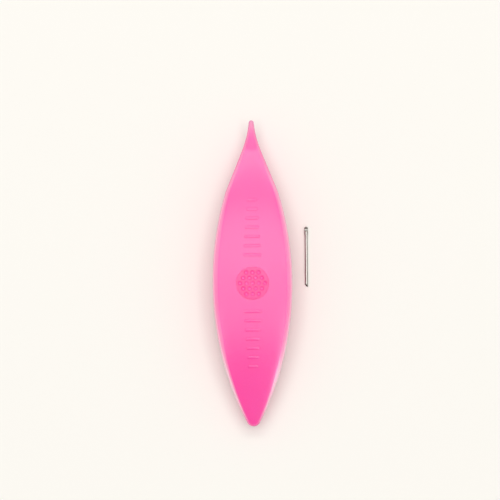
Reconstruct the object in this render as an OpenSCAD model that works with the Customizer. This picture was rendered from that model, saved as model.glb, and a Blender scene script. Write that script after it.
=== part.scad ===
// Tatting shuttle: two curved blades on a centre post, a pick, and a loose joining hook.
// Millimetres. The shuttle lies flat: X runs across it, Y along it with the pick at +Y, and
// Z through its thickness. The origin is the middle of the thread hole through the post.

/* [Blades] */
// Width across the waist, seen from above
blade_w = 24.5; // [20:0.5:30]
// Length from the end of one rounded nose to the other, without the pick
blade_len = 88.4; // [80:0.4:96]
// Distance from the waist to where the sides turn straight towards the pick
side_start = 28; // [24:1:32]
// Radius of each rounded nose, seen from above
nose_r = 2.2; // [1.8:0.1:2.8]
// Thickness over both blades at the waist, without the thumb pads
waist_t = 12.6; // [11:0.2:15]
// Wall of one blade at the waist
blade_wall = 1.6; // [1.4:0.1:2]
// Thickness of one blade at the very end of its nose
nose_t = 1.2; // [1:0.1:1.4]
// Length of the flat land where the two noses touch
land_len = 1.7; // [1:0.1:3]
// How far the middle of a blade stands above its side edges at the waist
crown_h = 0.8; // [0.4:0.1:1.2]

/* [Pick] */
// How far the pick reaches past the nose
pick_reach = 6; // [5:0.2:8]
// Radius of the pick's tip, seen from above
pick_tip_r = 0.8; // [0.6:0.1:1.2]
// Radius of the hollow curve down each side of the pick
pick_flare_r = 30; // [24:1:36]
// Thickness of the pick where it leaves the nose
pick_root_t = 1.6; // [1.5:0.05:1.7]
// Thickness of the pick at its tip
pick_tip_t = 1; // [0.8:0.1:1.2]

/* [Winding post] */
// Length of the post along the shuttle
post_len = 14; // [12:0.5:18]
// Width of the post across the shuttle
post_w = 5; // [4:0.5:7]
// Radius of the thread hole that crosses the post
thread_hole_r = 0.75; // [0.5:0.05:1.2]
// Depth of the raised seat inside each blade that the post stands on
seat_h = 1; // [0.6:0.1:1.4]
// Width of the ledge that the seat shows all round the post
seat_ledge = 0.4; // [0.2:0.1:0.8]
// Radius of the pegs at each end of the post
peg_r = 1; // [0.8:0.1:1.3]
// Length of a peg
peg_len = 1.6; // [1.2:0.1:1.7]
// Distance between the two pegs at one end of the post
peg_spacing = 9; // [7:0.5:10]
// Radial clearance between a peg and its socket
peg_clearance = 0.03; // [0.02:0.01:0.08]
// Depth of a socket past the end of its peg
socket_spare = 0.1; // [0.1:0.05:0.2]

/* [Thumb pads and grip ribs] */
// Radius of the flat round thumb pad outside each blade
pad_r = 5; // [4:0.5:7]
// Height of the thumb pad above the crest of the blade
pad_h = 0.2; // [0.1:0.05:0.4]
// Number of grip ribs from the pad towards each nose
rib_count = 7; // [3:1:9]
// Distance from one rib to the next
rib_pitch = 2.8; // [2:0.1:3]
// Distance from the pad's edge to the first rib
rib_start = 3.6; // [2:0.2:5]
// Length of the first rib across the blade
rib_len = 5.6; // [4:0.2:7]
// How much shorter each next rib is
rib_taper = 0.4; // [0.2:0.05:0.5]
// Width of a rib
rib_w = 0.9; // [0.6:0.1:1.2]
// Height of a rib above the blade
rib_h = 0.2; // [0.1:0.05:0.3]

/* [Joining hook] */
// Length of the hook from end to end
hook_len = 18.6; // [14:0.2:24]
// Radius of the shank
hook_r = 0.45; // [0.35:0.05:0.5]
// Radius of the rounded head
hook_head_r = 0.55; // [0.55:0.05:0.75]
// Length of the head before its taper to the shank
hook_head_len = 2; // [1.8:0.1:2.6]
// Length of the taper from the head to the shank
hook_neck_len = 1.2; // [0.8:0.1:2]
// Length of the floor of the throat that catches the thread
throat_len = 0.7; // [0.5:0.05:0.8]
// Depth of the throat
throat_depth = 0.5; // [0.3:0.05:0.6]
// How far the throat's back ramp runs for each millimetre that it rises
throat_ramp = 0.8; // [0.4:0.1:1.5]
// How far the lip overhangs the throat for each millimetre that it rises
throat_undercut = 0.35; // [0.1:0.05:0.5]
// Slant of the cut across the plain end of the shank, in degrees
end_slant = 45; // [0:5:50]
// Gap between the edge of the shuttle and the hook beside it
hook_gap = 4.5; // [3:0.1:10]
// How far the middle of the hook lies from the waist, towards the pick
hook_offset = 8; // [0:0.1:20]

/* [Hidden] */
$fn = 96;
arc_fn = 720;
spare = 1;

plastic = [1, 0.42, 0.69];
plastic_deep = [0.96, 0.36, 0.64];
steel = [0.72, 0.72, 0.74];

// Seen from above, each side of a blade is one long arc that runs tangent into the nose at
// -Y. At side_start it turns straight, and runs tangent into the nose at +Y.
half_w = blade_w / 2;
half_len = blade_len / 2;
nose_y = half_len - nose_r;
flank_r = (half_w * half_w + nose_y * nose_y - nose_r * nose_r) / (2 * (half_w - nose_r));
flank_x = flank_r - half_w;
nose_join_y = nose_y * flank_r / (flank_r - nose_r);
side_start_x = sqrt(flank_r * flank_r - side_start * side_start) - flank_x;
side_to_nose = norm([side_start_x, nose_y - side_start]);
side_turn = atan2(side_start_x, nose_y - side_start) - asin(nose_r / side_to_nose);
side_join_x = nose_r * cos(side_turn);
side_join_y = nose_y + nose_r * sin(side_turn);

// Each side of the pick is a hollow arc, tangent to the straight side and to the round tip.
// The arc's middle slides along the straight side until it reaches the tip.
tip_y = half_len + pick_reach - pick_tip_r;
tip_reach = pick_tip_r + pick_flare_r;
slide_x = side_start_x + pick_flare_r * cos(side_turn);
slide_y = side_start + pick_flare_r * sin(side_turn) - tip_y;
slide_back = slide_x * sin(side_turn) - slide_y * cos(side_turn);
slide_aside = slide_x * cos(side_turn) + slide_y * sin(side_turn);
root_along = slide_back - sqrt(tip_reach * tip_reach - slide_aside * slide_aside);
pick_root_x = side_start_x - root_along * sin(side_turn);
pick_root_y = side_start + root_along * cos(side_turn);
flare_x = pick_root_x + pick_flare_r * cos(side_turn);
flare_y = pick_root_y + pick_flare_r * sin(side_turn);
pick_join_x = flare_x * pick_tip_r / tip_reach;
pick_join_y = tip_y + (flare_y - tip_y) * pick_tip_r / tip_reach;
pick_end_y = tip_y + pick_tip_r;
pick_base_y = pick_root_y - nose_r / 2;
pick_base_x = pick_root_x + nose_r / 2 * tan(side_turn);
pick_slope = (pick_root_t - pick_tip_t) / pick_reach;

// Seen from the side, the outer and inner faces of a blade are long arcs over the waist.
outer_z = waist_t / 2;
inner_z = outer_z - blade_wall;
outer_drop = outer_z - nose_t;
outer_arc_r = (half_len * half_len + outer_drop * outer_drop) / (2 * outer_drop);
land_y = half_len - land_len;
inner_arc_r = (land_y * land_y + inner_z * inner_z) / (2 * inner_z);
crown_r = (half_w * half_w + crown_h * crown_h) / (2 * crown_h);

seat_z = inner_z - seat_h;
pad_z = outer_z + pad_h;
peg_y = peg_spacing / 2;
socket_depth = peg_len + socket_spare;

// The hook lies on the surface that the lower thumb pad rests on.
hook_x = half_w + hook_gap;
hook_z = hook_head_r - pad_z;
hook_end_y = hook_offset - hook_len / 2;
shank_len = hook_len - hook_head_len - hook_neck_len;

// A slot-shaped outline, long in Y, with full round ends
module slot_outline(length, width) {
    square([width, length - width], center = true);
    for (side = [-1, 1])
        translate([0, side * (length - width) / 2]) circle(d = width);
}

// Outline of a blade with a rounded nose at both ends
module blade_outline() {
    wide_x = half_w + spare;
    wide_y = side_start - (wide_x - side_start_x) / tan(side_turn);
    intersection() {
        translate([-flank_x, 0]) circle(r = flank_r, $fn = arc_fn);
        translate([flank_x, 0]) circle(r = flank_r, $fn = arc_fn);
        polygon([
            [-wide_x, -nose_join_y], [wide_x, -nose_join_y], [wide_x, wide_y],
            [side_join_x, side_join_y], [-side_join_x, side_join_y], [-wide_x, wide_y]
        ]);
    }
    for (side = [-1, 1])
        translate([0, side * nose_y]) circle(r = nose_r);
}

// Outline of the pick, from inside the blade to its tip
module pick_outline() {
    difference() {
        polygon([
            [-pick_base_x, pick_base_y], [pick_base_x, pick_base_y], [pick_root_x, pick_root_y],
            [pick_join_x, pick_join_y], [-pick_join_x, pick_join_y], [-pick_root_x, pick_root_y]
        ]);
        for (side = [-1, 1])
            translate([side * flare_x, flare_y]) circle(r = pick_flare_r, $fn = arc_fn);
    }
    translate([0, tip_y]) circle(r = pick_tip_r);
}

// A band turned about an axis that lies across the shuttle below the blade. Its outer face
// is arched along the shuttle and crowned across it, and its crest is at top_z.
module arched_band(top_z, arc_r, arch_crown_r) {
    translate([0, 0, top_z - arc_r])
        rotate([0, 90, 0])
            rotate_extrude($fn = arc_fn)
                intersection() {
                    translate([arc_r - arch_crown_r, 0]) circle(r = arch_crown_r, $fn = arc_fn);
                    translate([arc_r - waist_t, -half_w - spare])
                        square([waist_t + spare, blade_w + 2 * spare]);
                }
}

module grip_rib_outlines() {
    for (end = [-1, 1], i = [0 : rib_count - 1])
        translate([0, end * (pad_r + rib_start + i * rib_pitch)])
            rotate(90) slot_outline(rib_len - i * rib_taper, rib_w);
}

// The raised seat inside a blade, rooted in the middle of its wall
module post_seat() {
    translate([0, 0, seat_z])
        linear_extrude(height = seat_h + blade_wall / 2)
            slot_outline(post_len + 2 * seat_ledge, post_w + 2 * seat_ledge);
}

module peg_sockets() {
    for (side = [-1, 1])
        translate([0, side * peg_y, seat_z - spare])
            cylinder(r = peg_r + peg_clearance, h = socket_depth + spare);
}

// The pick tapers in thickness from inside the blade to its tip.
module pick() {
    base_t = pick_tip_t + pick_slope * (pick_end_y - pick_base_y);
    intersection() {
        linear_extrude(height = outer_z) pick_outline();
        rotate([90, 0, 90])
            linear_extrude(height = blade_w, center = true)
                polygon([[pick_base_y, 0], [pick_end_y, 0], [pick_end_y, pick_tip_t], [pick_base_y, base_t]]);
    }
}

// A blade above the middle plane, with its thumb pad, grip ribs, seat and peg sockets
module blade(with_pick) {
    difference() {
        union() {
            difference() {
                union() {
                    intersection() {
                        linear_extrude(height = outer_z + spare) blade_outline();
                        arched_band(outer_z, outer_arc_r, crown_r);
                    }
                    intersection() {
                        linear_extrude(height = outer_z + spare) grip_rib_outlines();
                        arched_band(outer_z + rib_h, outer_arc_r + rib_h, crown_r + rib_h);
                    }
                    translate([0, 0, seat_z]) cylinder(r = pad_r, h = pad_z - seat_z);
                }
                arched_band(inner_z, inner_arc_r, crown_r);
            }
            post_seat();
            if (with_pick)
                pick();
        }
        peg_sockets();
    }
}

module front_blade() {
    color(plastic) blade(true);
}

module back_blade() {
    color(plastic) mirror([0, 0, 1]) blade(false);
}

// The post stands between the seats of the two blades, with two pegs at each end.
module winding_post() {
    color(plastic_deep)
        difference() {
            union() {
                linear_extrude(height = 2 * seat_z, center = true) slot_outline(post_len, post_w);
                for (side = [-1, 1])
                    translate([0, side * peg_y, 0])
                        cylinder(r = peg_r, h = 2 * (seat_z + peg_len), center = true);
            }
            rotate([0, 90, 0])
                cylinder(r = thread_hole_r, h = post_w + 2 * spare, center = true);
        }
}

// Side view of the throat: a ramp at the back, and undercut below the lip at the front
module throat_profile() {
    floor_z = hook_head_r - throat_depth;
    top_z = hook_head_r + spare;
    rise = top_z - floor_z;
    polygon([
        [-rise * throat_ramp, top_z], [0, floor_z],
        [throat_len, floor_z], [throat_len - rise * throat_undercut, top_z]
    ]);
}

// The block that cuts the plain end off at a slant, which starts from the shank's right side
module plain_end_cut() {
    translate([hook_r, 0, 0])
        rotate(-end_slant)
            translate([-hook_len / 2, -hook_len, -hook_len / 2])
                cube(hook_len);
}

// The hook lies along Y with its head towards the pick end and its throat facing up.
module joining_hook() {
    ball_y = hook_len - hook_head_r;
    throat_y = hook_len - hook_head_r - throat_len;
    color(steel)
        translate([hook_x, hook_end_y, hook_z])
            difference() {
                union() {
                    rotate([-90, 0, 0]) {
                        cylinder(r = hook_r, h = shank_len);
                        translate([0, 0, shank_len])
                            cylinder(r1 = hook_r, r2 = hook_head_r, h = hook_neck_len);
                        translate([0, 0, shank_len + hook_neck_len])
                            cylinder(r = hook_head_r, h = hook_head_len - hook_head_r);
                    }
                    translate([0, ball_y, 0]) sphere(r = hook_head_r);
                }
                translate([0, throat_y, 0])
                    rotate([90, 0, 90])
                        linear_extrude(height = 2 * hook_head_r + spare, center = true) throat_profile();
                plain_end_cut();
            }
}

front_blade();
back_blade();
winding_post();
joining_hook();
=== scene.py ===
# %% [markdown]
# # A tatting shuttle, modelled as by hand
# Tatting is lace made of small knots, and its thread is wound inside a flat leaf-shaped
# shuttle. This one is moulded in bright pink plastic: two arched blades stand on a short
# post, one blade runs out into a pick, and a short steel hook lies beside it.
# The construction model already has every piece at its real size. The first step loads it
# and keeps its box, so that the sizes can be read from it.

# %% Load the frame
import math

import bmesh
import bpy
from mathutils import Matrix, Vector


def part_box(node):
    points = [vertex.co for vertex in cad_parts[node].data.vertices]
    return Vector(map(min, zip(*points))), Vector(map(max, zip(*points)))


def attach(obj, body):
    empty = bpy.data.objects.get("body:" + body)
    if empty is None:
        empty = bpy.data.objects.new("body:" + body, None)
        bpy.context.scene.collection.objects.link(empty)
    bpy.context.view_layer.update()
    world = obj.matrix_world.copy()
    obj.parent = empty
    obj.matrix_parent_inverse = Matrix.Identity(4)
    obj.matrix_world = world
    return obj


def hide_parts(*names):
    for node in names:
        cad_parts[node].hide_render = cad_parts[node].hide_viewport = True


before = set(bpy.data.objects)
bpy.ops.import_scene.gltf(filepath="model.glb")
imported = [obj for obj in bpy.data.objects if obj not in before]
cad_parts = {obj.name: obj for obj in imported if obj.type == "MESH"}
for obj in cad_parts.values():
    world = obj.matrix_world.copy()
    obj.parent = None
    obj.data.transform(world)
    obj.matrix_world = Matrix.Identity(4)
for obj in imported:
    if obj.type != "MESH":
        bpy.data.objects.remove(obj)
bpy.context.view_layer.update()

# %% [markdown]
# ## Sizes
# The driving sizes are read from the boxes of the construction pieces, so that the model
# can't drift away from them. What a box can't say, such as a radius or a wall, is a named
# value in millimetres. Two places nearer than `NEAR` count as one, and two directions
# whose product is above `SAME_WAY` count as the same.

# %% Read the sizes
MM = 0.001
NEAR = 0.01 * MM
ON_PLANE = 1e-7
SAME_WAY = 0.99

_, blade_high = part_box("back_blade")
_, front_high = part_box("front_blade")
_, post_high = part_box("winding_post")
hook_low, hook_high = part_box("joining_hook")

HALF_W = blade_high.x
HALF_LEN = blade_high.y
PICK_END = front_high.y
PAD_Z = front_high.z

NOSE_R = 2.2 * MM
WALL = 1.6 * MM
NOSE_T = 1.2 * MM
CROWN = 0.8 * MM
PAD_H = 0.2 * MM
PAD_R = 5.0 * MM
SIDE_START = 28.0 * MM
SHOULDER_W = 0.62 * MM
SHOULDER_H = 0.55 * MM
INNER_EDGE = 0.35 * MM
EASE_DROP = 0.12 * MM
PICK_TIP_R = 0.8 * MM
PICK_FLARE_R = 30.0 * MM
PICK_TIP_T = 1.0 * MM

CREST_Z = PAD_Z - PAD_H
print("half width %.2f mm, half length %.2f mm" % (HALF_W / MM, HALF_LEN / MM))

# %% [markdown]
# ## Small helpers
# Operators act on whatever is selected, so each step starts by selecting exactly what it
# needs. `only` picks whole objects, and `choose` picks vertices, edges or faces by a test
# of their place or direction, which works the same each time the script runs.

# %% Helpers for selecting
def only(piece, *others):
    bpy.ops.object.select_all(action="DESELECT")
    for each in (piece, *others):
        each.select_set(True)
    bpy.context.view_layer.objects.active = piece
    return piece


def edit(piece):
    only(piece)
    bpy.ops.object.mode_set(mode="EDIT")
    bpy.ops.mesh.select_all(action="SELECT")


def leave():
    bpy.ops.object.mode_set(mode="OBJECT")


def middle(edge):
    return (edge.verts[0].co + edge.verts[1].co) / 2


def choose(piece, kind, test):
    bpy.ops.mesh.select_all(action="DESELECT")
    bpy.ops.mesh.select_mode(type=kind)
    mesh = bmesh.from_edit_mesh(piece.data)
    parts = {"VERT": mesh.verts, "EDGE": mesh.edges, "FACE": mesh.faces}[kind]
    chosen = [part for part in parts if test(part)]
    for part in chosen:
        part.select = True
    mesh.select_flush_mode()
    bmesh.update_edit_mesh(piece.data)
    return len(chosen)


print("selecting helpers ready")

# %% [markdown]
# Four more helpers do what comes up again and again: applying an object's place to its
# mesh, joining copies, softening the chosen edges, and cutting or welding with a boolean.

# %% Helpers for shaping
def apply_all(piece):
    only(piece)
    bpy.ops.object.transform_apply(location=True, rotation=True, scale=True)
    return piece


def join(pieces):
    joined = only(*pieces)
    bpy.ops.object.join()
    return apply_all(joined)


def cylinder(steps, radius, depth, place, turn=(0, 0, 0)):
    bpy.ops.mesh.primitive_cylinder_add(
        vertices=steps, radius=radius, depth=depth, location=place, rotation=turn
    )
    return apply_all(bpy.context.object)


def soften(offset, segments=3):
    bpy.ops.mesh.bevel(offset=offset, segments=segments, profile=0.5, affect="EDGES")


def combine(piece, other, operation):
    only(piece)
    bpy.ops.object.modifier_add(type="BOOLEAN")
    step = piece.modifiers[-1]
    step.operation = operation
    step.solver = "EXACT"
    step.object = other
    bpy.ops.object.modifier_apply(modifier=step.name)
    bpy.data.objects.remove(other)


ACROSS_X = (0, math.pi / 2, 0)
ALONG_Y = (math.pi / 2, 0, 0)
print("shaping helpers ready")

# %% [markdown]
# ## The camera
# The photograph looks straight down from far off, so a long lens does it. Its place is
# worked out from the scale, 0.3087 mm for each pixel, and from where the middle of the
# thread hole would be in the picture. The shuttle leans by half a degree in the picture,
# and turning the camera leaves the object straight in its own frame.

# %% Place the camera
FRAME_PX = 500
MM_PER_PX = 0.3087
HOLE_PX = Vector((252.5, 283.0))
LEAN_DEG = 0.48
CAMERA_HEIGHT = 1.2
SENSOR_MM = 36.0

field = FRAME_PX * MM_PER_PX * MM
aim = Vector((FRAME_PX / 2 - HOLE_PX.x, HOLE_PX.y - FRAME_PX / 2)) * MM_PER_PX * MM
lean = math.radians(LEAN_DEG)
aim = Matrix.Rotation(-lean, 2) @ aim

bpy.ops.object.camera_add(location=(aim.x, aim.y, CAMERA_HEIGHT), rotation=(0, 0, -lean))
camera = bpy.context.object
camera.data.sensor_width = SENSOR_MM
camera.data.lens = SENSOR_MM * CAMERA_HEIGHT / field
camera.data.clip_start = 0.01
camera.data.clip_end = 20
bpy.context.scene.camera = camera
print("lens %.0f mm" % camera.data.lens)

# %% [markdown]
# ## The outline of a blade
# Seen from above, a blade is a leaf. Its outline could be traced point by point, but then
# every point would be a small error. Here it is drawn with a compass and a ruler: two long
# arcs for the flanks, a straight run on each side towards the pick and a small arc for each
# nose. The pick has a hollow arc on each side and a round tip. All of them meet tangent to
# each other, so the joins are worked out first.

# %% Work out the arcs and the straight sides
nose_y = HALF_LEN - NOSE_R
flank_r = (HALF_W**2 + nose_y**2 - NOSE_R**2) / (2 * (HALF_W - NOSE_R))
flank_x = flank_r - HALF_W
nose_join_y = nose_y * flank_r / (flank_r - NOSE_R)

side_start = Vector((math.sqrt(flank_r**2 - SIDE_START**2) - flank_x, SIDE_START))
to_nose = Vector((0, nose_y)) - side_start
side_turn = math.atan2(-to_nose.x, to_nose.y) - math.asin(NOSE_R / to_nose.length)
side_out = Vector((math.cos(side_turn), math.sin(side_turn)))
side_up = Vector((-side_out.y, side_out.x))
side_join = Vector((0, nose_y)) + NOSE_R * side_out

tip = Vector((0, PICK_END - PICK_TIP_R))
tip_reach = PICK_TIP_R + PICK_FLARE_R
slide = side_start + PICK_FLARE_R * side_out - tip
root_along = -slide.dot(side_up) - math.sqrt(tip_reach**2 - slide.dot(side_out) ** 2)
pick_root = side_start + root_along * side_up
flare = pick_root + PICK_FLARE_R * side_out
pick_join = tip + (flare - tip) * PICK_TIP_R / tip_reach
pick_base_y = pick_root.y - NOSE_R / 2
print("flank radius %.1f mm, pick from y %.1f mm" % (flank_r / MM, pick_root.y / MM))

# %% [markdown]
# Each arc is a circle primitive, trimmed by bisecting it. A flank goes on as a straight
# run, which is its last point extruded and then subdivided.

# %% Draw an arc and a flank
FLANK_STEPS = 720
FLARE_STEPS = 240
NOSE_STEPS = 96
TIP_STEPS = 64
SIDE_CUTS = 18


def arc(centre, radius, steps, low=None, high=None, keep_x=0):
    bpy.ops.mesh.primitive_circle_add(vertices=steps, radius=radius, location=(*centre, 0))
    piece = bpy.context.object
    cuts = []
    if low is not None:
        cuts.append(((0, low, 0), (0, -1, 0)))
    if high is not None:
        cuts.append(((0, high, 0), (0, 1, 0)))
    if keep_x:
        cuts.append(((centre[0], 0, 0), (-keep_x, 0, 0)))
    edit(piece)
    for point, away in cuts:
        bpy.ops.mesh.select_all(action="SELECT")
        bpy.ops.mesh.bisect(plane_co=point, plane_no=away, clear_outer=True, threshold=ON_PLANE)
    leave()
    return piece


def flank(side, end):
    piece = arc((-side * flank_x, 0), flank_r, FLANK_STEPS, -nose_join_y, SIDE_START, side)
    run = (side * (end.x - side_start.x), end.y - side_start.y, 0)
    edit(piece)
    choose(piece, "VERT", lambda v: v.co.y > SIDE_START - NEAR)
    bpy.ops.mesh.extrude_vertices_move(TRANSFORM_OT_translate={"value": run})
    choose(piece, "EDGE", lambda e: all(v.co.y > SIDE_START - NEAR for v in e.verts))
    bpy.ops.mesh.subdivide(number_cuts=SIDE_CUTS)
    leave()
    return piece


print("arc and flank ready")

# %% [markdown]
# The pieces of the outline are joined and their doubled end points merged. A distance of
# 0.03 mm also merges two points that nearly touch, which would make the later insets spike.

# %% Draw the two outlines
MERGE = 0.03 * MM


def leaf_outline(name, with_pick):
    end = pick_root if with_pick else side_join
    arcs = [arc((0, -nose_y), NOSE_R, NOSE_STEPS, high=-nose_join_y)]
    arcs += [flank(side, end) for side in (-1, 1)]
    if with_pick:
        arcs.append(arc(tip, PICK_TIP_R, TIP_STEPS, low=pick_join.y))
        for side in (-1, 1):
            centre = (side * flare.x, flare.y)
            arcs.append(
                arc(centre, PICK_FLARE_R, FLARE_STEPS, pick_root.y, pick_join.y, -side)
            )
    else:
        arcs.append(arc((0, nose_y), NOSE_R, NOSE_STEPS, low=side_join.y))
    outline = join(arcs)
    outline.name = name
    edit(outline)
    bpy.ops.mesh.remove_doubles(threshold=MERGE)
    leave()
    return outline


def shortest_edge(mesh):
    ends = [[mesh.vertices[i].co for i in edge.vertices] for edge in mesh.edges]
    return min((a - b).length for a, b in ends)


front = leaf_outline("front_blade_shell", True)
back = leaf_outline("back_blade_shell", False)
for piece in (front, back):
    print(piece.name, len(piece.data.vertices), "points,", end=" ")
    print("shortest step %.3f mm" % (shortest_edge(piece.data) / MM))

# %% [markdown]
# ## From outline to a flat leaf
# The real blade has a broad soft shoulder above, where it meets the fingers, and a small
# rounding below. A bevel could round them, but on so thin a tip it runs into itself. So the
# outline is filled and extruded to the height of its upright edge, and each large face is
# inset again and again, a little inwards and a little outwards, along a quarter of an
# ellipse. What is left of the two faces is then replaced by rows of quads, bridged from
# the left side to the right, so that the leaf can be bent without creasing.

# %% Round the shoulders and bridge the faces
ACROSS = 20
SHOULDER_STEPS = 6
INNER_STEPS = 3
BIG_FACE = 60


def round_off(width, height, steps):
    for step in range(steps):
        start = math.pi / 2 * step / steps
        end = math.pi / 2 * (step + 1) / steps
        bpy.ops.mesh.inset(
            thickness=width * (math.cos(start) - math.cos(end)),
            depth=height * (math.sin(end) - math.sin(start)),
        )


def bridge_sides(piece, level):
    def along_side(edge):
        on_level = abs(middle(edge).z - level) < NEAR
        at_end = any(abs(v.co.x) < NEAR / 10 for v in edge.verts)
        return edge.is_boundary and on_level and not at_end

    choose(piece, "EDGE", along_side)
    bpy.ops.mesh.bridge_edge_loops(number_cuts=ACROSS - 1, interpolation="LINEAR")


print("rounding and bridging ready")

# %% Make the flat leaves
def flat_leaf(piece):
    upright = WALL - SHOULDER_H - INNER_EDGE
    edit(piece)
    bpy.ops.transform.translate(value=(0, 0, -SHOULDER_H))
    bpy.ops.mesh.edge_face_add()
    bpy.ops.mesh.extrude_region_move(TRANSFORM_OT_translate={"value": (0, 0, -upright)})
    bpy.ops.mesh.select_all(action="SELECT")
    bpy.ops.mesh.normals_make_consistent(inside=False)
    choose(piece, "FACE", lambda f: len(f.verts) > BIG_FACE and f.normal.z > 0)
    round_off(SHOULDER_W, SHOULDER_H, SHOULDER_STEPS)
    choose(piece, "FACE", lambda f: len(f.verts) > BIG_FACE and f.normal.z < 0)
    round_off(INNER_EDGE, INNER_EDGE, INNER_STEPS)
    choose(piece, "FACE", lambda f: len(f.verts) > BIG_FACE)
    bpy.ops.mesh.delete(type="ONLY_FACE")
    bridge_sides(piece, 0)
    bridge_sides(piece, -WALL)
    bpy.ops.mesh.select_all(action="SELECT")
    bpy.ops.mesh.fill_holes(sides=0)
    bpy.ops.mesh.select_all(action="SELECT")
    bpy.ops.mesh.normals_make_consistent(inside=False)
    leave()


for piece in (front, back):
    flat_leaf(piece)
    print(piece.name, len(piece.data.polygons), "faces")

# %% [markdown]
# A moulded blade has no hard line where its top ends. It rolls off a little towards the
# outline over the last few millimetres. Proportional editing does that: the rim is moved
# down and the points near it follow, less and less with their distance.

# %% Ease the rim down
EASE_W = 2.4 * MM


def ease_rim(piece):
    edit(piece)
    choose(piece, "VERT", lambda v: -WALL + NEAR < v.co.z < -NEAR)
    bpy.ops.transform.translate(
        value=(0, 0, -EASE_DROP),
        use_proportional_edit=True,
        proportional_edit_falloff="SHARP",
        proportional_size=EASE_W,
        use_proportional_connected=False,
    )
    leave()


for piece in (front, back):
    ease_rim(piece)
    low = min(v.co.z for v in piece.data.vertices)
    print(piece.name, "eased, lowest point %.2f mm" % (low / MM))

# %% [markdown]
# ## Grip ribs
# Rows of short ribs run along the middle of each blade, so that it doesn't slip in the
# fingers. Each is a cylinder pulled out into a slot shape with its top edge softened. They
# could be only a bump in the material, but then their edges wouldn't catch the light. They
# go on while the leaf is flat, and bend with it later.

# %% Add the ribs
RIB_COUNT = 7
RIB_PITCH = 2.8 * MM
RIB_START = PAD_R + 3.6 * MM
RIB_LEN = 5.6 * MM
RIB_TAPER = 0.4 * MM
RIB_W = 0.9 * MM
RIB_H = 0.2 * MM
RIB_ROOT = 0.5 * MM
RIB_EDGE = 0.12 * MM
RIB_STEPS = 24


def rib(y, length):
    piece = cylinder(RIB_STEPS, RIB_W / 2, RIB_H + RIB_ROOT, (0, y, (RIB_H - RIB_ROOT) / 2))
    edit(piece)
    for side in (-1, 1):
        choose(piece, "VERT", lambda v: v.co.x * side > NEAR)
        bpy.ops.transform.translate(value=(side * (length - RIB_W) / 2, 0, 0))
    choose(piece, "EDGE", lambda e: all(v.co.z > 0 for v in e.verts))
    soften(RIB_EDGE)
    leave()
    return piece


def add_ribs(blade):
    ribs = []
    for end in (-1, 1):
        for step in range(RIB_COUNT):
            y = end * (RIB_START + step * RIB_PITCH)
            ribs.append(rib(y, RIB_LEN - step * RIB_TAPER))
    combine(blade, join(ribs), "UNION")


for piece in (front, back):
    add_ribs(piece)
    print(piece.name, "with ribs:", len(piece.data.polygons), "faces")

# %% [markdown]
# ## Bending the leaf
# A blade is arched along its length and slightly crowned across, which makes room for the
# thread and keeps the tips pressed together. Both come from the Simple Deform modifier's
# bend, first across and then along. A helper empty tells the modifier which way is along,
# and which way is down. A bend keeps lengths, so the leaf is first made a little wider and
# longer. The pick isn't bent: it runs on straight.

# %% Bend across and along
outer_drop = CREST_Z - NOSE_T
arch_r = (HALF_LEN**2 + outer_drop**2) / (2 * outer_drop)
crown_r = (HALF_W**2 + CROWN**2) / (2 * CROWN)


def stretch_for(half, radius):
    return radius * math.asin(half / (radius - SHOULDER_H - EASE_DROP)) / half


wider = stretch_for(HALF_W, crown_r)
longer = stretch_for(HALF_LEN, arch_r)


def bend(piece, radius, along_axis, straight_from=None):
    places = [v.co.dot(along_axis) for v in piece.data.vertices]
    low, high = min(places), max(places)
    end = high if straight_from is None else straight_from
    down = Vector((0, 0, -1))
    helper = bpy.data.objects.new("bend_helper", None)
    bpy.context.scene.collection.objects.link(helper)
    axes = Matrix((along_axis, down, along_axis.cross(down))).transposed()
    helper.matrix_world = axes.to_4x4()
    bpy.context.view_layer.update()
    only(piece)
    bpy.ops.object.modifier_add(type="SIMPLE_DEFORM")
    step = piece.modifiers[-1]
    step.deform_method = "BEND"
    step.deform_axis = "Z"
    step.origin = helper
    step.limits = (0, (end - low) / (high - low))
    step.angle = (end - low) / radius
    bpy.ops.object.modifier_apply(modifier=step.name)
    bpy.data.objects.remove(helper)


def arch(piece, straight_from=None):
    edit(piece)
    bpy.ops.transform.resize(value=(wider, longer, 1), center_override=(0, 0, 0))
    leave()
    bend(piece, crown_r, Vector((1, 0, 0)))
    bend(piece, arch_r, Vector((0, 1, 0)), straight_from)
    edit(piece)
    bpy.ops.transform.translate(value=(0, 0, CREST_Z))
    leave()


arch(front, pick_base_y * longer)
arch(back)
for piece in (front, back):
    low = min(v.co.z for v in piece.data.vertices)
    print(piece.name, "lowest point %.2f mm" % (low / MM))

# %% [markdown]
# ## Straightening the pick
# The pick lifts and catches loops of thread. The arch would carry it down past the middle
# of the shuttle. On the real piece it comes back towards the middle, so its rows are turned
# up twice, a few degrees each time. Two small turns look like one soft one. The turns make
# it a hair too long, so it is drawn in to end where the construction piece ends.

# %% Turn up the pick
PICK_TURNS = 2
PICK_FIRST = pick_base_y + 1.2 * MM
PICK_STEP = 0.8 * MM


def surface_z(y):
    return CREST_Z - arch_r + math.sqrt(arch_r**2 - y**2)


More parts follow.
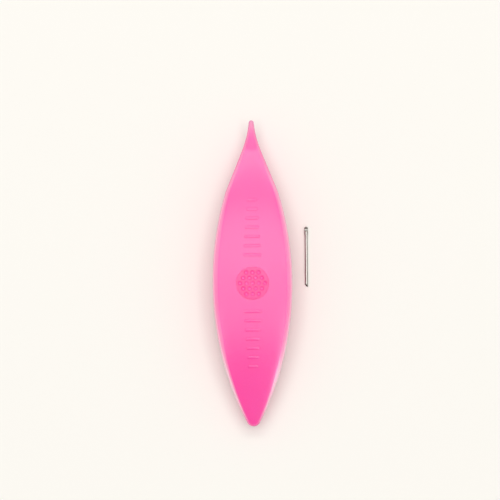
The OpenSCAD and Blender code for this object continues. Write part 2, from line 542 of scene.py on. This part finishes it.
base_slope = math.asin(pick_base_y / arch_r)
turn_z = surface_z(pick_base_y)
straight_z = turn_z - math.tan(base_slope) * (PICK_END - pick_base_y)
lift = math.atan((PICK_TIP_T - straight_z) / (PICK_END - PICK_FIRST - PICK_STEP / 2))
edit(front)
for turn in range(PICK_TURNS):
    turn_y = PICK_FIRST + turn * PICK_STEP
    choose(front, "VERT", lambda v: v.co.y > turn_y)
    bpy.ops.transform.rotate(
        value=-lift / PICK_TURNS, orient_axis="X", center_override=(0, turn_y, turn_z)
    )
leave()
reach = max(v.co.y for v in front.data.vertices)
shrink = (PICK_END - PICK_FIRST) / (reach - PICK_FIRST)
edit(front)
choose(front, "VERT", lambda v: v.co.y > PICK_FIRST)
bpy.ops.transform.resize(value=(1, shrink, 1), center_override=(0, PICK_FIRST, 0))
leave()
top_z = max(v.co.z for v in front.data.vertices if v.co.y > tip.y)
print("pick shortened by %.3f, its top at z %.2f mm" % (shrink, top_z / MM))

# %% [markdown]
# ## The flat lands
# The noses of the two blades press on each other, flat on flat, so that thread clicks
# through without unwinding. A boolean cut would do it too, but a bisect at the middle plane
# is quicker, and it cuts and closes the mesh in one go.

# %% Cut the lands
def cut_land(piece):
    edit(piece)
    bpy.ops.mesh.bisect(
        plane_co=(0, 0, 0),
        plane_no=(0, 0, -1),
        clear_outer=True,
        use_fill=True,
        threshold=ON_PLANE,
    )
    leave()


for piece in (front, back):
    cut_land(piece)
    print(piece.name, len(piece.data.polygons), "faces after the cut")

# %% [markdown]
# ## Thumb pad
# A round pad marks the middle of each blade, where finger and thumb meet. A cylinder gives
# the pad, and a honeycomb of small spheres is cut out of its top, so that it grips. One
# sphere is modelled and the others are copies of it, joined before the cut so that one
# boolean does them all. The flat rim between the dimples stays at the full height.

# %% Make the dimple cutter
DIMPLE_R = 1.1 * MM
DIMPLE_DEPTH = 0.3 * MM
DIMPLE_PITCH = 1.9 * MM
DIMPLE_FIELD = 4.2 * MM


def honeycomb(pitch, field):
    row_step = pitch * math.sqrt(3) / 2
    rows = int(field / row_step)
    places = []
    for row in range(-rows, rows + 1):
        shift = (row % 2) * pitch / 2
        for step in range(-rows - 2, rows + 3):
            x, y = step * pitch + shift, row * row_step
            if math.hypot(x, y) < field:
                places.append((x, y))
    return places


def dimple_cutter():
    bpy.ops.mesh.primitive_uv_sphere_add(segments=32, ring_count=20, radius=DIMPLE_R)
    first = bpy.context.object
    places = honeycomb(DIMPLE_PITCH, DIMPLE_FIELD)
    spheres = [first]
    for _ in places[1:]:
        sphere = first.copy()
        sphere.data = first.data.copy()
        bpy.context.scene.collection.objects.link(sphere)
        spheres.append(sphere)
    for sphere, (x, y) in zip(spheres, places):
        sphere.location = (x, y, PAD_Z + DIMPLE_R - DIMPLE_DEPTH)
    return join(spheres)


print(len(honeycomb(DIMPLE_PITCH, DIMPLE_FIELD)), "dimples on each pad")

# %% Add the pads
PAD_ROOT = 0.6 * MM
PAD_EDGE = 0.14 * MM
PAD_STEPS = 96


def thumb_pad():
    middle_z = PAD_Z - (PAD_H + PAD_ROOT) / 2
    pad = cylinder(PAD_STEPS, PAD_R, PAD_H + PAD_ROOT, (0, 0, middle_z))
    edit(pad)
    choose(pad, "EDGE", lambda e: all(v.co.z > middle_z for v in e.verts))
    soften(PAD_EDGE)
    leave()
    combine(pad, dimple_cutter(), "DIFFERENCE")
    return pad


for piece in (front, back):
    combine(piece, thumb_pad(), "UNION")
    print(piece.name, "with its pad:", len(piece.data.polygons), "faces")

# %% [markdown]
# ## Seat for the post
# Inside, each blade has a raised seat a little larger than the post, with two blind
# sockets for the post's pegs. The seat is a slot-shaped block with its lower edge softened.
# A cylinder whose two halves are pulled apart makes such a block at once, and it keeps its
# ends truly round.

# %% Make a slot-shaped block and a pair of pegs
PEG_R = 1.0 * MM
PEG_LEN = 1.6 * MM
PEG_Y = 4.5 * MM
BLOCK_STEPS = 64
PEG_STEPS = 32

post_half_w = post_high.x
post_half_len = post_high.y


def slot_block(half_w, half_len, low, high):
    block = cylinder(BLOCK_STEPS, half_w, high - low, (0, 0, (low + high) / 2))
    edit(block)
    for side in (-1, 1):
        choose(block, "VERT", lambda v: v.co.y * side > NEAR)
        bpy.ops.transform.translate(value=(0, side * (half_len - half_w), 0))
    leave()
    return block


def peg_pair(z, radius, length):
    return join([cylinder(PEG_STEPS, radius, length, (0, side * PEG_Y, z)) for side in (-1, 1)])


print("post %.1f x %.1f mm" % (2 * post_half_w / MM, 2 * post_half_len / MM))

# %% Add the seats and cut the sockets
SEAT_H = 1.0 * MM
SEAT_LEDGE = 0.4 * MM
SEAT_ROOT = 0.6 * MM
SEAT_EDGE = 0.15 * MM
PEG_CLEARANCE = 0.03 * MM
SOCKET_SPARE = 0.1 * MM

seat_z = CREST_Z - WALL - SEAT_H
socket_depth = PEG_LEN + SOCKET_SPARE


def post_seat():
    half_w, half_len = post_half_w + SEAT_LEDGE, post_half_len + SEAT_LEDGE
    seat = slot_block(half_w, half_len, seat_z, seat_z + SEAT_H + SEAT_ROOT)
    edit(seat)
    choose(seat, "EDGE", lambda e: all(v.co.z < seat_z + SEAT_H / 2 for v in e.verts))
    soften(SEAT_EDGE)
    leave()
    return seat


for piece in (front, back):
    combine(piece, post_seat(), "UNION")
    sockets = peg_pair(seat_z, PEG_R + PEG_CLEARANCE, 2 * socket_depth)
    combine(piece, sockets, "DIFFERENCE")
    print(piece.name, "with its seat:", len(piece.data.polygons), "faces")

# %% [markdown]
# ## The lower blade
# The lower blade is the same moulding without the pick, turned over. Scaling by minus one
# turns its faces inside out, so the normals are made consistent again.

# %% Turn the lower blade over
edit(back)
bpy.ops.transform.resize(value=(1, 1, -1), center_override=(0, 0, 0))
bpy.ops.mesh.select_all(action="SELECT")
bpy.ops.mesh.normals_make_consistent(inside=False)
leave()
print("lower blade from z %.2f mm" % (min(v.co.z for v in back.data.vertices) / MM))

# %% [markdown]
# ## The winding post
# The post keeps the blades apart and the thread is wound round it. A bevelled box could be
# one, but thread winds best over truly round ends, which the slot-shaped block has. Its
# end faces are softened, and two pegs on each hold it in the blades.

# %% Model the post
POST_EDGE = 0.2 * MM
PEG_EDGE = 0.2 * MM

post = slot_block(post_half_w, post_half_len, -seat_z, seat_z)
post.name = "winding_post_block"
edit(post)
choose(post, "EDGE", lambda e: abs(e.verts[0].co.z - e.verts[1].co.z) < NEAR)
soften(POST_EDGE)
leave()

for side in (-1, 1):
    pegs = peg_pair(side * seat_z, PEG_R, 2 * PEG_LEN)
    edit(pegs)
    choose(pegs, "EDGE", lambda e: all(v.co.z * side > seat_z + PEG_LEN / 2 for v in e.verts))
    soften(PEG_EDGE, segments=2)
    leave()
    combine(post, pegs, "UNION")
print(post.name, len(post.data.polygons), "faces")

# %% [markdown]
# ### The thread hole
# The end of the thread is pushed through the post from side to side. A plain drill would
# leave sharp mouths that cut it. So the drilling cylinder is cut near its ends by bisects
# that keep both sides, and its two end rings are scaled up into funnels.

# %% Drill the thread hole
THREAD_R = 0.75 * MM
MOUTH_R = 1.05 * MM
MOUTH_DEPTH = 0.35 * MM
DRILL_STEPS = 40
DRILL_REACH = 1.1

drill_half = DRILL_REACH * post_half_w
mouth_x = post_half_w - MOUTH_DEPTH
drill = cylinder(DRILL_STEPS, THREAD_R, 2 * drill_half, (0, 0, 0), ACROSS_X)
edit(drill)
for side in (-1, 1):
    bpy.ops.mesh.select_all(action="SELECT")
    bpy.ops.mesh.bisect(plane_co=(side * mouth_x, 0, 0), plane_no=(1, 0, 0), threshold=ON_PLANE)
choose(drill, "VERT", lambda v: abs(v.co.x) > post_half_w)
opened = 1 + (MOUTH_R / THREAD_R - 1) * (drill_half - mouth_x) / MOUTH_DEPTH
bpy.ops.transform.resize(value=(1, opened, opened), center_override=(0, 0, 0))
leave()
combine(post, drill, "DIFFERENCE")
print(post.name, len(post.data.polygons), "faces with the hole")

# %% [markdown]
# ## The joining hook
# The hook is drawn steel wire. It starts as one short cylinder at the plain end, whose far
# cap is extruded ring by ring: the shank, a neck that swells to the head, and a rounded
# nose. Rings in a list are easier to change than a lathe profile, and the many rings along
# the shank keep its long faces well shaped.

# %% List the rings of the hook
HOOK_R = 0.45 * MM
HEAD_R = 0.55 * MM
HEAD_LEN = 2.0 * MM
NECK_LEN = 1.2 * MM
FIRST_LEN = 0.2 * MM
SHANK_RINGS = 14
NECK_RINGS = 6
BALL_RINGS = 8

hook_x = (hook_low.x + hook_high.x) / 2
hook_z = (hook_low.z + hook_high.z) / 2
first_y = hook_low.y + FIRST_LEN
neck_y = hook_high.y - HEAD_LEN - NECK_LEN
ball_y = hook_high.y - HEAD_R

rings = [
    (first_y + (neck_y - first_y) * step / SHANK_RINGS, HOOK_R)
    for step in range(1, SHANK_RINGS + 1)
]
for step in range(1, NECK_RINGS + 1):
    part = step / NECK_RINGS
    swell = (1 - math.cos(math.pi * part)) / 2
    rings.append((neck_y + NECK_LEN * part, HOOK_R + (HEAD_R - HOOK_R) * swell))
rings.append((ball_y, HEAD_R))
for step in range(1, BALL_RINGS):
    turn = math.pi / 2 * step / BALL_RINGS
    rings.append((ball_y + HEAD_R * math.sin(turn), HEAD_R * math.cos(turn)))
print(len(rings), "rings")

# %% Extrude the hook
WIRE_STEPS = 48


def push_cap(distance):
    bpy.ops.mesh.extrude_region_move(TRANSFORM_OT_translate={"value": (0, distance, 0)})


first_middle = (hook_x, hook_low.y + FIRST_LEN / 2, hook_z)
hook = cylinder(WIRE_STEPS, HOOK_R, FIRST_LEN, first_middle, ALONG_Y)
hook.name = "joining_hook_wire"
edit(hook)
choose(hook, "FACE", lambda f: f.normal.y > SAME_WAY)
last_y, last_r = first_y, HOOK_R
for y, radius in rings:
    push_cap(y - last_y)
    scale = radius / last_r
    bpy.ops.transform.resize(value=(scale, 1, scale), center_override=(hook_x, y, hook_z))
    last_y, last_r = y, radius
push_cap(hook_high.y - last_y)
bpy.ops.mesh.merge(type="CENTER")
leave()
print(hook.name, len(hook.data.polygons), "faces")

# %% [markdown]
# ### The throat and the cut end
# The throat catches the thread. It is scooped out by a small cylinder laid across the head
# and pulled out towards the shank into a ramp, and its edges are softened so that they
# don't fray the thread. The plain end was snipped off at a slant, so a bisect cuts it and
# closes the cut.

# %% Cut the throat
THROAT_LEN = 0.7 * MM
THROAT_DEPTH = 0.5 * MM
THROAT_RAMP = 1.5
THROAT_EDGE = 0.03 * MM
SHARP_DEG = 32

scoop_y = ball_y - THROAT_LEN / 2
scoop_z = hook_z + HEAD_R - THROAT_DEPTH + THROAT_LEN / 2
scoop_middle = (hook_x, scoop_y, scoop_z)
scoop = cylinder(WIRE_STEPS, THROAT_LEN / 2, 4 * HEAD_R, scoop_middle, ACROSS_X)
edit(scoop)
choose(scoop, "VERT", lambda v: v.co.y < scoop_y - NEAR)
bpy.ops.transform.resize(value=(1, THROAT_RAMP, 1), center_override=scoop_middle)
choose(scoop, "VERT", lambda v: v.co.z > scoop_z + NEAR)
bpy.ops.transform.resize(value=(1, 1, 2), center_override=scoop_middle)
leave()
combine(hook, scoop, "DIFFERENCE")


def is_throat_edge(edge):
    if len(edge.link_faces) != 2 or middle(edge).y < scoop_y - MM:
        return False
    return edge.calc_face_angle() > math.radians(SHARP_DEG)


edit(hook)
sharp = choose(hook, "EDGE", is_throat_edge)
soften(THROAT_EDGE, segments=2)
leave()
print("throat edges softened:", sharp)

# %% Snip the plain end
CUT_NORMAL = Vector((-0.58, -0.66, 0.48)).normalized()

edit(hook)
bpy.ops.mesh.bisect(
    plane_co=(hook_x + HOOK_R, hook_low.y, hook_z),
    plane_no=CUT_NORMAL,
    clear_outer=True,
    use_fill=True,
    threshold=ON_PLANE,
)
leave()
print(hook.name, len(hook.data.polygons), "faces after the snip")

# %% [markdown]
# The nose, the throat and the cut end are painted darker, which is painted shade for the
# dark rim of the head and the dark cut end, and they are given a rougher skin. They could
# be separate materials, but a number on each face, `shade_and_rough_cut`, lets one steel fade
# from polished to this darker, rougher skin.

# %% Mark the faces painted darker
# how much darker, and rougher, the nose and the throat are made; the darkness is painted shade
NOSE_SHADE = 0.5
THROAT_SHADE = 0.3
THROAT_WALL = 0.9 * HEAD_R

throat_end = scoop_y - THROAT_RAMP * THROAT_LEN / 2


def shade_and_roughness(face):
    if face.normal.dot(CUT_NORMAL) > SAME_WAY:
        return 1
    if face.center.y > ball_y:
        return NOSE_SHADE
    from_axis = math.hypot(face.center.x - hook_x, face.center.z - hook_z)
    in_throat = face.center.y > throat_end and from_axis < THROAT_WALL
    return THROAT_SHADE if in_throat else 0


shade_and_rough_cut = hook.data.attributes.new("shade_and_rough_cut", "FLOAT", "FACE")
for face in hook.data.polygons:
    shade_and_rough_cut.data[face.index].value = shade_and_roughness(face)
print(sum(shade_and_roughness(face) > 0 for face in hook.data.polygons), "raw faces")

# %% [markdown]
# ## Smooth shading and bodies
# Edges up to 35 degrees are shaded smooth and sharper ones stay crisp. Each piece then
# hides the construction piece that it stands for, and it is attached to the body that it
# moves with.

# %% Shade and link
SMOOTH_DEG = 35

stands_for = (
    (front, "front_blade", "shuttle", "pink_plastic"),
    (back, "back_blade", "shuttle", "pink_plastic"),
    (post, "winding_post", "shuttle", "pink_plastic"),
    (hook, "joining_hook", "hook", "hook_steel"),
)
for piece, node, body, finish in stands_for:
    only(piece)
    bpy.ops.object.shade_smooth_by_angle(angle=math.radians(SMOOTH_DEG))
    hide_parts(node)
    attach(piece, body)
    print(piece.name, "stands for", node, "on", body)

# %% [markdown]
# ## Masks for the materials
# The rim is painted paler, a painted glow and highlight where the rounded rim would catch
# the light, most of all where the blade is narrow. The top of the pad is painted a deeper
# pink, painted shade for the sheen that its dimples don't give, and the thin end of the
# pick is painted paler and greyer, a painted glare. The dimpled pad is duller than the
# polished blade, and the inner side, which only thread touches, is duller still. A painted
# picture could say so, but a number at each vertex follows the shape exactly and needs no
# file. `painted_rim_glow`, the painted glow, is highest at the outline, `pad_painted_shade`,
# the painted shade, is 1 on top of the pad, `tip_painted_glare`, the painted glare, grows
# towards the thin end of the pick, and `dullness` is 0 where the plastic is polished and 1
# where it is mat.

# %% Work out the depth inside the outline
def depth_inside(x, y, with_pick):
    here = Vector((abs(x), y))
    if with_pick and y > pick_join.y:
        return PICK_TIP_R - (here - tip).length
    if with_pick and y > pick_root.y:
        return (here - flare).length - PICK_FLARE_R
    if y > side_join.y or y < -nose_join_y:
        return NOSE_R - math.hypot(x, abs(y) - nose_y)
    from_flank = flank_r - math.hypot(here.x + flank_x, y)
    return min(from_flank, (side_start - here).dot(side_out))


print("depth at the middle %.2f mm" % (depth_inside(0, 0, True) / MM))

# %% [markdown]
# The painted glow of the rim is read from three short tables: how it falls with depth, and
# how wide the band and how strong the glow is at a few places along the blade, all in
# millimetres. `between` reads a table and fills the steps between its rows. The upright
# edge is painted less pale than the shoulder, which faces up towards the lamps.

# %% Work out the painted glow of the rim
GLOW_BY_DEPTH = ((0, 1), (0.65, 1), (1.1, 0.15), (1.8, 0))
BAND_WIDTH_BY_Y = ((-38, 0.53), (-30, 0.6), (24, 0.6), (34, 0.68), (42, 0.58))
GLOW_BY_Y = (
    (-44, 0.2), (-38, 0.85), (-30, 1), (-10, 0.68), (24, 0.62), (34, 0.35), (42, 0.28)
)
SIDE_GLOW = 0.45


def between(table, place):
    if place <= table[0][0]:
        return table[0][1]
    for (low, first), (high, second) in zip(table, table[1:]):
        if place < high:
            part = (place - low) / (high - low)
            return first * (1 - part) + second * part
    return table[-1][1]


def painted_rim_glow(depth, y, facing):
    width = between(BAND_WIDTH_BY_Y, y / MM) * MM
    glow = between(GLOW_BY_DEPTH, depth / width) * between(GLOW_BY_Y, y / MM)
    return glow * (SIDE_GLOW + (1 - SIDE_GLOW) * facing)


print("glow at the waist's rim %.2f" % painted_rim_glow(0, 0, 1))

# %% Write the masks
MASKS = ("painted_rim_glow", "pad_painted_shade", "tip_painted_glare", "dullness")
PAD_DULLNESS = 0.4
FACING_GAIN = 2
FACES_INWARD = -0.3
# where the painted glare on the thin end of the pick begins, and how fast it grows
TIP_FADE_FROM = PICK_END - 6.0 * MM
TIP_FADE_POWER = 1.6


def mask_values(vert, with_pick):
    x, y, z = vert.co
    facing = min(1, FACING_GAIN * abs(vert.normal.z))
    glow = painted_rim_glow(depth_inside(x, y, with_pick), y, facing)
    tip_part = max(0, (y - TIP_FADE_FROM) / (PICK_END - TIP_FADE_FROM))
    on_pad = math.hypot(x, y) < PAD_R + NEAR and abs(z) > CREST_Z + PAD_H / 10
    on_pick = with_pick and y > pick_base_y
    inside = vert.normal.z * z < FACES_INWARD * abs(z) and not on_pick
    dull = 1 if inside else PAD_DULLNESS if on_pad else 0
    return glow, 1.0 if on_pad else 0.0, tip_part**TIP_FADE_POWER, dull


def add_masks(piece, with_pick):
    rows = [mask_values(vert, with_pick) for vert in piece.data.vertices]
    for name, values in zip(MASKS, zip(*rows)):
        mask = piece.data.attributes.new(name, "FLOAT", "POINT")
        mask.data.foreach_set("value", values)
    print(piece.name, "has masks on", len(rows), "vertices")


add_masks(front, True)
add_masks(back, False)

# %% [markdown]
# ## Helpers for materials
# A material is a few nodes and the links between them. These helpers add the ones that
# both materials need: a noise on the object's own coordinates, which stays with the piece
# when it moves, a mix of two colours, a change of range, and a mask read by its name.
# `srgb` takes a colour as it is seen on a screen.

# %% Add nodes
def srgb(r, g, b):
    levels = [value / 255 for value in (r, g, b)]
    return [v / 12.92 if v < 0.0405 else ((v + 0.055) / 1.055) ** 2.4 for v in levels] + [1]


def new_material(name):
    made = bpy.data.materials.new(name)
    made.use_nodes = True
    tree = made.node_tree
    return made, tree.nodes, tree.links, tree.nodes["Principled BSDF"]


def noise(nodes, links, scale, detail, stretch=(1, 1, 1)):
    place = nodes.new("ShaderNodeTexCoord")
    mapping = nodes.new("ShaderNodeMapping")
    mapping.inputs["Scale"].default_value = stretch
    texture = nodes.new("ShaderNodeTexNoise")
    texture.inputs["Scale"].default_value = scale
    texture.inputs["Detail"].default_value = detail
    links.new(place.outputs["Object"], mapping.inputs["Vector"])
    links.new(mapping.outputs["Vector"], texture.inputs["Vector"])
    return texture.outputs["Fac"]


def mix_colour(nodes, links, factor, one, two):
    mix = nodes.new("ShaderNodeMix")
    mix.data_type = "RGBA"
    links.new(factor, mix.inputs["Factor"])
    for value, socket in ((one, mix.inputs[6]), (two, mix.inputs[7])):
        if isinstance(value, list):
            socket.default_value = value
        else:
            links.new(value, socket)
    return mix.outputs[2]


def remap(nodes, links, value, low, high):
    ramp = nodes.new("ShaderNodeMapRange")
    ramp.inputs["To Min"].default_value = low
    ramp.inputs["To Max"].default_value = high
    links.new(value, ramp.inputs["Value"])
    return ramp.outputs["Result"]


def attribute(nodes, name):
    found = nodes.new("ShaderNodeAttribute")
    found.attribute_name = name
    return found.outputs["Fac"]


def add_bump(nodes, links, skin, height, strength, distance):
    bump = nodes.new("ShaderNodeBump")
    bump.inputs["Strength"].default_value = strength
    bump.inputs["Distance"].default_value = distance
    links.new(height, bump.inputs["Height"])
    links.new(bump.outputs["Normal"], skin.inputs["Normal"])


def give(material, *pieces):
    for piece in pieces:
        piece.data.materials.clear()
        piece.data.materials.append(material)
    print(material.name, "has", len(material.node_tree.nodes), "nodes")


print("material helpers ready")

# %% [markdown]
# ## The pink plastic
# A bright fluorescent pink with a satin gloss. Some light goes into the plastic and comes
# out again a millimetre away, which is the subsurface part: without it the plastic would
# look painted. A slow noise gives the faint flow marks of the moulding and a fine one the
# slight unevenness of its skin. The masks then paint in light and shade: a deeper pink on
# the pad as painted shade, a pale painted glow on the rim and a paler, greyer painted glare
# on the thin tip. Each is one more mix on top of the last, so the order of the rows is the
# order of the layers.

# %% Make the pink plastic
PINK = srgb(255, 60, 160)
PINK_FLOW = srgb(255, 70, 165)
LAYERS = (
    # painted shade: a deeper pink on top of the pad, for the sheen its dimples don't give
    ("pad_painted_shade", srgb(250, 58, 150)),
    # painted glow and highlight: a pale pink on the rim
    ("painted_rim_glow", srgb(255, 211, 222)),
    # painted glare: a paler, greyer pink at the thin end of the pick
    ("tip_painted_glare", srgb(232, 150, 185)),
)
POLISHED = 0.23
MAT = 0.6

pink, nodes, links, skin = new_material("pink_moulded_plastic")
flow = noise(nodes, links, scale=90, detail=2, stretch=(1, 0.35, 1))
body_colour = mix_colour(nodes, links, flow, PINK, PINK_FLOW)
for mask, colour in LAYERS:
    body_colour = mix_colour(nodes, links, attribute(nodes, mask), body_colour, colour)
links.new(body_colour, skin.inputs["Base Color"])
roughness = remap(nodes, links, attribute(nodes, "dullness"), POLISHED, MAT)
links.new(roughness, skin.inputs["Roughness"])
skin.inputs["IOR"].default_value = 1.59
skin.inputs["Subsurface Weight"].default_value = 0.3
skin.inputs["Subsurface Radius"].default_value = (1, 0.35, 0.6)
skin.inputs["Subsurface Scale"].default_value = 0.8 * MM
uneven = noise(nodes, links, scale=1400, detail=3)
add_bump(nodes, links, skin, uneven, strength=0.08, distance=0.02 * MM)
give(pink, front, back, post)

# %% [markdown]
# ## The steel
# The wire was drawn through a die and then polished, which leaves fine lines along it. A
# noise squeezed across and stretched along the wire gives them, in colour, roughness and
# height. An anisotropic gloss would stretch the sheen too, but it would show no lines. The
# nose, the throat and the cut end take a darker tint, which is painted shade, and a rougher
# skin.

# %% Make the steel
STEEL_DARK = srgb(150, 147, 144)
STEEL_LIGHT = srgb(174, 171, 167)
# painted shade: the darker tint of the nose, the throat and the cut end
STEEL_PAINTED_SHADE = srgb(64, 60, 56)
CUT_ROUGHER = 0.15

steel, nodes, links, skin = new_material("drawn_hook_steel")
lines = noise(nodes, links, scale=4000, detail=3, stretch=(1, 0.02, 1))
darkened = attribute(nodes, "shade_and_rough_cut")
tint = mix_colour(nodes, links, lines, STEEL_DARK, STEEL_LIGHT)
# painted shade mixed in on the nose, the throat and the cut end
tint = mix_colour(nodes, links, darkened, tint, STEEL_PAINTED_SHADE)
links.new(tint, skin.inputs["Base Color"])
skin.inputs["Metallic"].default_value = 1
rougher = nodes.new("ShaderNodeMath")
rougher.operation = "MULTIPLY_ADD"
rougher.inputs[1].default_value = CUT_ROUGHER
links.new(darkened, rougher.inputs[0])
links.new(remap(nodes, links, lines, low=0.22, high=0.36), rougher.inputs[2])
links.new(rougher.outputs["Value"], skin.inputs["Roughness"])
add_bump(nodes, links, skin, lines, strength=0.15, distance=0.01 * MM)
give(steel, hook)

# %% [markdown]
# ## The floor
# The shuttle lies on a plain pale floor, a hair below the lowest piece. The floor is clear
# from its underside, so that the lower blade can be looked at from below.

# %% Lay the floor
FLOOR_GAP = 0.02 * MM
PAPER = srgb(250, 247, 240)

bpy.ops.mesh.primitive_plane_add(size=6, location=(0, 0, hook_low.z - FLOOR_GAP))
floor = bpy.context.object
floor.name = "floor"
paper, nodes, links, skin = new_material("floor_paper")
skin.inputs["Base Color"].default_value = PAPER
skin.inputs["Roughness"].default_value = 0.9
skin.inputs["Specular IOR Level"].default_value = 0.1
facing = nodes.new("ShaderNodeNewGeometry")
clear = nodes.new("ShaderNodeBsdfTransparent")
show = nodes.new("ShaderNodeMixShader")
links.new(facing.outputs["Backfacing"], show.inputs["Fac"])
links.new(skin.outputs["BSDF"], show.inputs[1])
links.new(clear.outputs["BSDF"], show.inputs[2])
links.new(show.outputs["Shader"], nodes["Material Output"].inputs["Surface"])
give(paper, floor)

# %% [markdown]
# ## The sky
# The sky is a soft even white, which fills the shadows. What the camera and the polished
# steel see of it is a second background, in the colour of the floor. So the picture's
# background can be pale without more light on the object.

# %% Make the sky
SKY = 0.49
BACKDROP = 0.88

world = bpy.data.worlds.new("soft_sky")
bpy.context.scene.world = world
world.use_nodes = True
nodes, links = world.node_tree.nodes, world.node_tree.links
sky = nodes["Background"]
sky.inputs["Color"].default_value = (1, 1, 1, 1)
sky.inputs["Strength"].default_value = SKY
seen = nodes.new("ShaderNodeBackground")
seen.inputs["Color"].default_value = PAPER
seen.inputs["Strength"].default_value = BACKDROP
ray = nodes.new("ShaderNodeLightPath")
either = nodes.new("ShaderNodeMath")
either.operation = "MAXIMUM"
links.new(ray.outputs["Is Camera Ray"], either.inputs[0])
links.new(ray.outputs["Is Glossy Ray"], either.inputs[1])
choice = nodes.new("ShaderNodeMixShader")
links.new(either.outputs["Value"], choice.inputs["Fac"])
links.new(sky.outputs["Background"], choice.inputs[1])
links.new(seen.outputs["Background"], choice.inputs[2])
links.new(choice.outputs["Shader"], nodes["World Output"].inputs["Surface"])
print("sky at", SKY)

# %% [markdown]
# ## Six soft boxes
# A satin surface shows the lamps as pale sheens, and a blade that arches shows a different
# part of the studio along its length. So the sheens are placed by placing the boxes. The
# main box hangs above and pales the middle and the upper half of the blade, which arches
# away from it lower down. The upper box adds to the upper half, and the far box is seen
# only near the pick, where the blade slopes most. Three small boxes beyond the blunt end
# give the soft bright lines on the eased rims of the lower half. They are there for their
# reflections alone, so they are hidden from diffuse light.

# %% Hang the soft boxes
SHEEN_BOXES = (
    ("main_soft_box", (0, 0.06, 2.2), (2.25, 1.07), 2.12),
    ("upper_soft_box", (0, 0.33, 2.15), (2.25, 0.54), 1.25),
    ("far_soft_box", (0, 1.05, 2.0), (1.8, 0.4), 5.0),
)
STREAK_BOXES = (
    ("right_streak_box", (0.8, -0.9, 2.0), (0.22, 0.45), 16),
    ("right_waist_box", (0.64, -0.46, 2.0), (0.12, 0.26), 9),
    ("left_waist_box", (-0.72, -0.48, 2.0), (0.12, 0.34), 9),
)


def soft_box(name, place, size, radiance):
    bpy.ops.object.light_add(type="AREA", location=place)
    box = bpy.context.object
    box.name = name
    box.data.shape = "RECTANGLE"
    box.data.size, box.data.size_y = size
    box.data.energy = radiance * math.pi * size[0] * size[1]
    box.rotation_euler = (-Vector(place)).to_track_quat("-Z", "Y").to_euler()
    return box


for row in SHEEN_BOXES:
    soft_box(*row)
for row in STREAK_BOXES:
    soft_box(*row).visible_diffuse = False
bpy.context.scene.view_settings.view_transform = "Standard"
print("six soft boxes hung")
